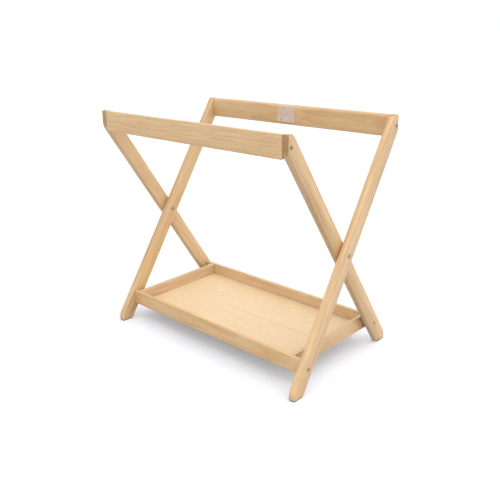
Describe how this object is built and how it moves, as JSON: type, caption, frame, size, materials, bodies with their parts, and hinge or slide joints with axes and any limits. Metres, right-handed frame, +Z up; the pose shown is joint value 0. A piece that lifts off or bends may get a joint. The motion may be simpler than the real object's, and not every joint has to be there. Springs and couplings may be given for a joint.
{
  "type": "bassinet stand",
  "caption": "Folding wooden bassinet stand: crossed rail frames on pivot bolts, clear rail clips and a low storage tray that lifts as it folds.",
  "frame": {"origin": "on the floor, under the middle of the pivot axis", "axes": "+X to the right along the rails, +Y to the back, +Z up"},
  "size_m": [0.799, 0.4852, 0.7225],
  "materials": {
    "wood": "clear satin lacquer on light solid wood",
    "plywood": "clear satin lacquer on light plywood",
    "dowel_wood": "raw beech",
    "steel": "dark plated, satin",
    "clear_plastic": "clear, moulded with ribs",
    "felt": "dark felt"
  },
  "bodies": {
    "rear_frame": {"rear_top_rail": "wood", "rear_frame_left_leg": "wood", "rear_frame_right_leg": "wood", "rear_frame_left_foot_pad": "felt", "rear_frame_right_foot_pad": "felt", "left_pivot_bolt": "steel", "right_pivot_bolt": "steel", "left_pivot_sleeve_nut": "steel", "right_pivot_sleeve_nut": "steel", "left_pivot_washer": "steel", "right_pivot_washer": "steel", "rear_left_rail_bolt": "steel", "rear_right_rail_bolt": "steel", "rear_left_rail_insert": "steel", "rear_right_rail_insert": "steel", "rear_left_upper_rail_dowel": "dowel_wood", "rear_left_lower_rail_dowel": "dowel_wood", "rear_right_upper_rail_dowel": "dowel_wood", "rear_right_lower_rail_dowel": "dowel_wood", "left_tray_hinge_bolt": "steel", "right_tray_hinge_bolt": "steel", "rear_rail_clip": "clear_plastic", "rear_clip_left_screw": "steel", "rear_clip_right_screw": "steel"},
    "front_frame": {"front_top_rail": "wood", "front_frame_left_leg": "wood", "front_frame_right_leg": "wood", "front_frame_left_foot_pad": "felt", "front_frame_right_foot_pad": "felt", "front_left_rail_bolt": "steel", "front_right_rail_bolt": "steel", "front_left_rail_insert": "steel", "front_right_rail_insert": "steel", "front_left_upper_rail_dowel": "dowel_wood", "front_left_lower_rail_dowel": "dowel_wood", "front_right_upper_rail_dowel": "dowel_wood", "front_right_lower_rail_dowel": "dowel_wood", "left_tray_rest_pin": "steel", "right_tray_rest_pin": "steel", "front_rail_clip": "clear_plastic", "front_clip_left_screw": "steel", "front_clip_right_screw": "steel"},
    "tray": {"tray_front_board": "wood", "tray_rear_board": "wood", "tray_left_board": "wood", "tray_right_board": "wood", "tray_panel": "plywood", "tray_front_left_lower_dowel": "dowel_wood", "tray_front_left_upper_dowel": "dowel_wood", "tray_front_right_lower_dowel": "dowel_wood", "tray_front_right_upper_dowel": "dowel_wood", "tray_rear_left_lower_dowel": "dowel_wood", "tray_rear_left_upper_dowel": "dowel_wood", "tray_rear_right_lower_dowel": "dowel_wood", "tray_rear_right_upper_dowel": "dowel_wood"}
  },
  "joints": [
    {"name": "frame_fold", "type": "hinge", "parent": "rear_frame", "child": "front_frame", "pos_m": [0, 0, 0.349], "axis": [-1, 0, 0], "range_deg": [0, 56]},
    {"name": "tray_lift", "type": "hinge", "parent": "rear_frame", "child": "tray", "pos_m": [0, -0.18026, 0.073], "axis": [1, 0, 0], "range_deg": [0, 48]}
  ],
  "couplings": [
    {"joint": "tray_lift", "follows": "frame_fold", "ratio": 0.85714}
  ]
}
